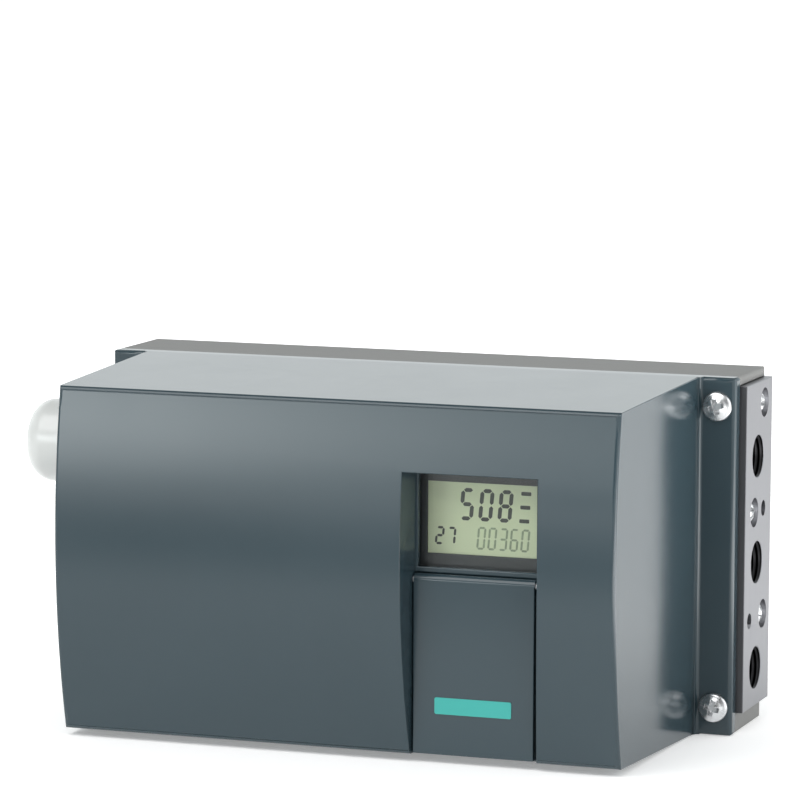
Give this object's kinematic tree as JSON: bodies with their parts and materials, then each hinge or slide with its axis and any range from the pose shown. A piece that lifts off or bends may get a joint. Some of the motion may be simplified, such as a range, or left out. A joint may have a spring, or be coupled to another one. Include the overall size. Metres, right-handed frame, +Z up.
{
  "type": "valve positioner",
  "caption": "Electro-pneumatic valve positioner: drafted box cover with a bulging front, display window, key flap, screw ears, air port plate, cable gland and rear feedback shaft.",
  "frame": {"origin": "centre of the rear bolt circle in the rear mounting face, on the feedback shaft's axis", "axes": "+X towards the air ports, +Y out of the rear face along the feedback shaft, +Z up"},
  "size_m": [0.2125, 0.1198, 0.097],
  "materials": {
    "cover_plastic": "semi-gloss moulded plastic, petrol grey",
    "base_plastic": "fine-textured moulded plastic, warm grey",
    "rubber": "matt seal rubber",
    "screw_steel": "bright zinc-plated steel",
    "window_clear": "clear polished pane",
    "lcd_dark": "matt black moulding",
    "lcd_face": "reflective display face, grey-green",
    "board": "solder-masked circuit board",
    "key_grey": "satin moulded keys",
    "terminal_grey": "moulded terminal strip",
    "block_metal": "machined and clear-anodised aluminium",
    "brass": "turned brass",
    "valve_dark": "glass-filled moulding",
    "gland_white": "translucent white polyamide",
    "plug_dark": "moulded polyamide, dark grey",
    "shaft_steel": "ground stainless steel",
    "gear_ivory": "moulded acetal, ivory",
    "clutch_yellow": "moulded acetal, yellow",
    "pot_blue": "moulded sensor case, blue"
  },
  "bodies": {
    "housing": {"base_housing": "base_plastic", "front_cover": "cover_plastic", "cover_gasket": "rubber", "cover_screws": "screw_steel", "display_window": "window_clear", "flap_hinge_pin": "shaft_steel", "key_switches": "lcd_dark", "lcd_frame": "lcd_dark", "lcd_panel": "lcd_face", "display_board": "board", "display_spacers": "brass", "main_board": "board", "board_screws": "screw_steel", "board_parts": "lcd_dark", "terminal_block": "terminal_grey", "terminal_screws": "screw_steel", "connection_block": "block_metal", "plate_screws": "screw_steel", "port_seals": "rubber", "pneumatic_block": "valve_dark", "pilot_valve": "lcd_dark", "exhaust_silencer": "brass", "vent_filters": "plug_dark", "gland_body": "gland_white", "gland_nut": "gland_white", "gland_insert": "rubber", "gland_plug": "gland_white", "blanking_plug": "plug_dark", "entry_seals": "rubber", "shaft_bush": "brass", "shaft_seal": "rubber", "bearing_bridge": "block_metal", "bridge_screws": "screw_steel", "potentiometer": "pot_blue"},
    "feedback_shaft": {"feedback_shaft": "shaft_steel", "drive_gear": "gear_ivory", "shaft_clip": "shaft_steel"},
    "potentiometer_rotor": {"pot_pinion": "gear_ivory", "clutch_wheel": "clutch_yellow"},
    "key_flap": {"key_flap": "cover_plastic"},
    "hand_key": {"hand_key": "key_grey"},
    "down_key": {"down_key": "key_grey"},
    "up_key": {"up_key": "key_grey"},
    "restrictor_y1": {"restrictor_y1": "brass"},
    "restrictor_y2": {"restrictor_y2": "brass"}
  },
  "joints": [
    {"name": "feedback_turn", "type": "hinge", "parent": "housing", "child": "feedback_shaft", "pos_m": [0, 0, 0], "axis": [0, 1, 0], "range_deg": [-50, 50]},
    {"name": "pot_turn", "type": "hinge", "parent": "housing", "child": "potentiometer_rotor", "pos_m": [-0.0352, 0, 0], "axis": [0, 1, 0], "range_deg": [-150, 150]},
    {"name": "flap_open", "type": "hinge", "parent": "housing", "child": "key_flap", "pos_m": [0.0375, -0.0918, -0.0004], "axis": [-1, 0, 0], "range_deg": [0, 100]},
    {"name": "hand_key_press", "type": "slide", "parent": "housing", "child": "hand_key", "axis": [0, 1, 0], "range_m": [0, 0.0012], "stiffness_N_per_m": 800},
    {"name": "down_key_press", "type": "slide", "parent": "housing", "child": "down_key", "axis": [0, 1, 0], "range_m": [0, 0.0012], "stiffness_N_per_m": 800},
    {"name": "up_key_press", "type": "slide", "parent": "housing", "child": "up_key", "axis": [0, 1, 0], "range_m": [0, 0.0012], "stiffness_N_per_m": 800},
    {"name": "restrictor_y1_turn", "type": "hinge", "parent": "housing", "child": "restrictor_y1", "pos_m": [0.085, -0.0092, 0.0107], "axis": [1, 0, 0], "continuous": true},
    {"name": "restrictor_y2_turn", "type": "hinge", "parent": "housing", "child": "restrictor_y2", "pos_m": [0.085, -0.022, -0.0185], "axis": [1, 0, 0], "continuous": true}
  ],
  "couplings": [
    {"joint": "pot_turn", "follows": "feedback_turn", "ratio": -3}
  ]
}
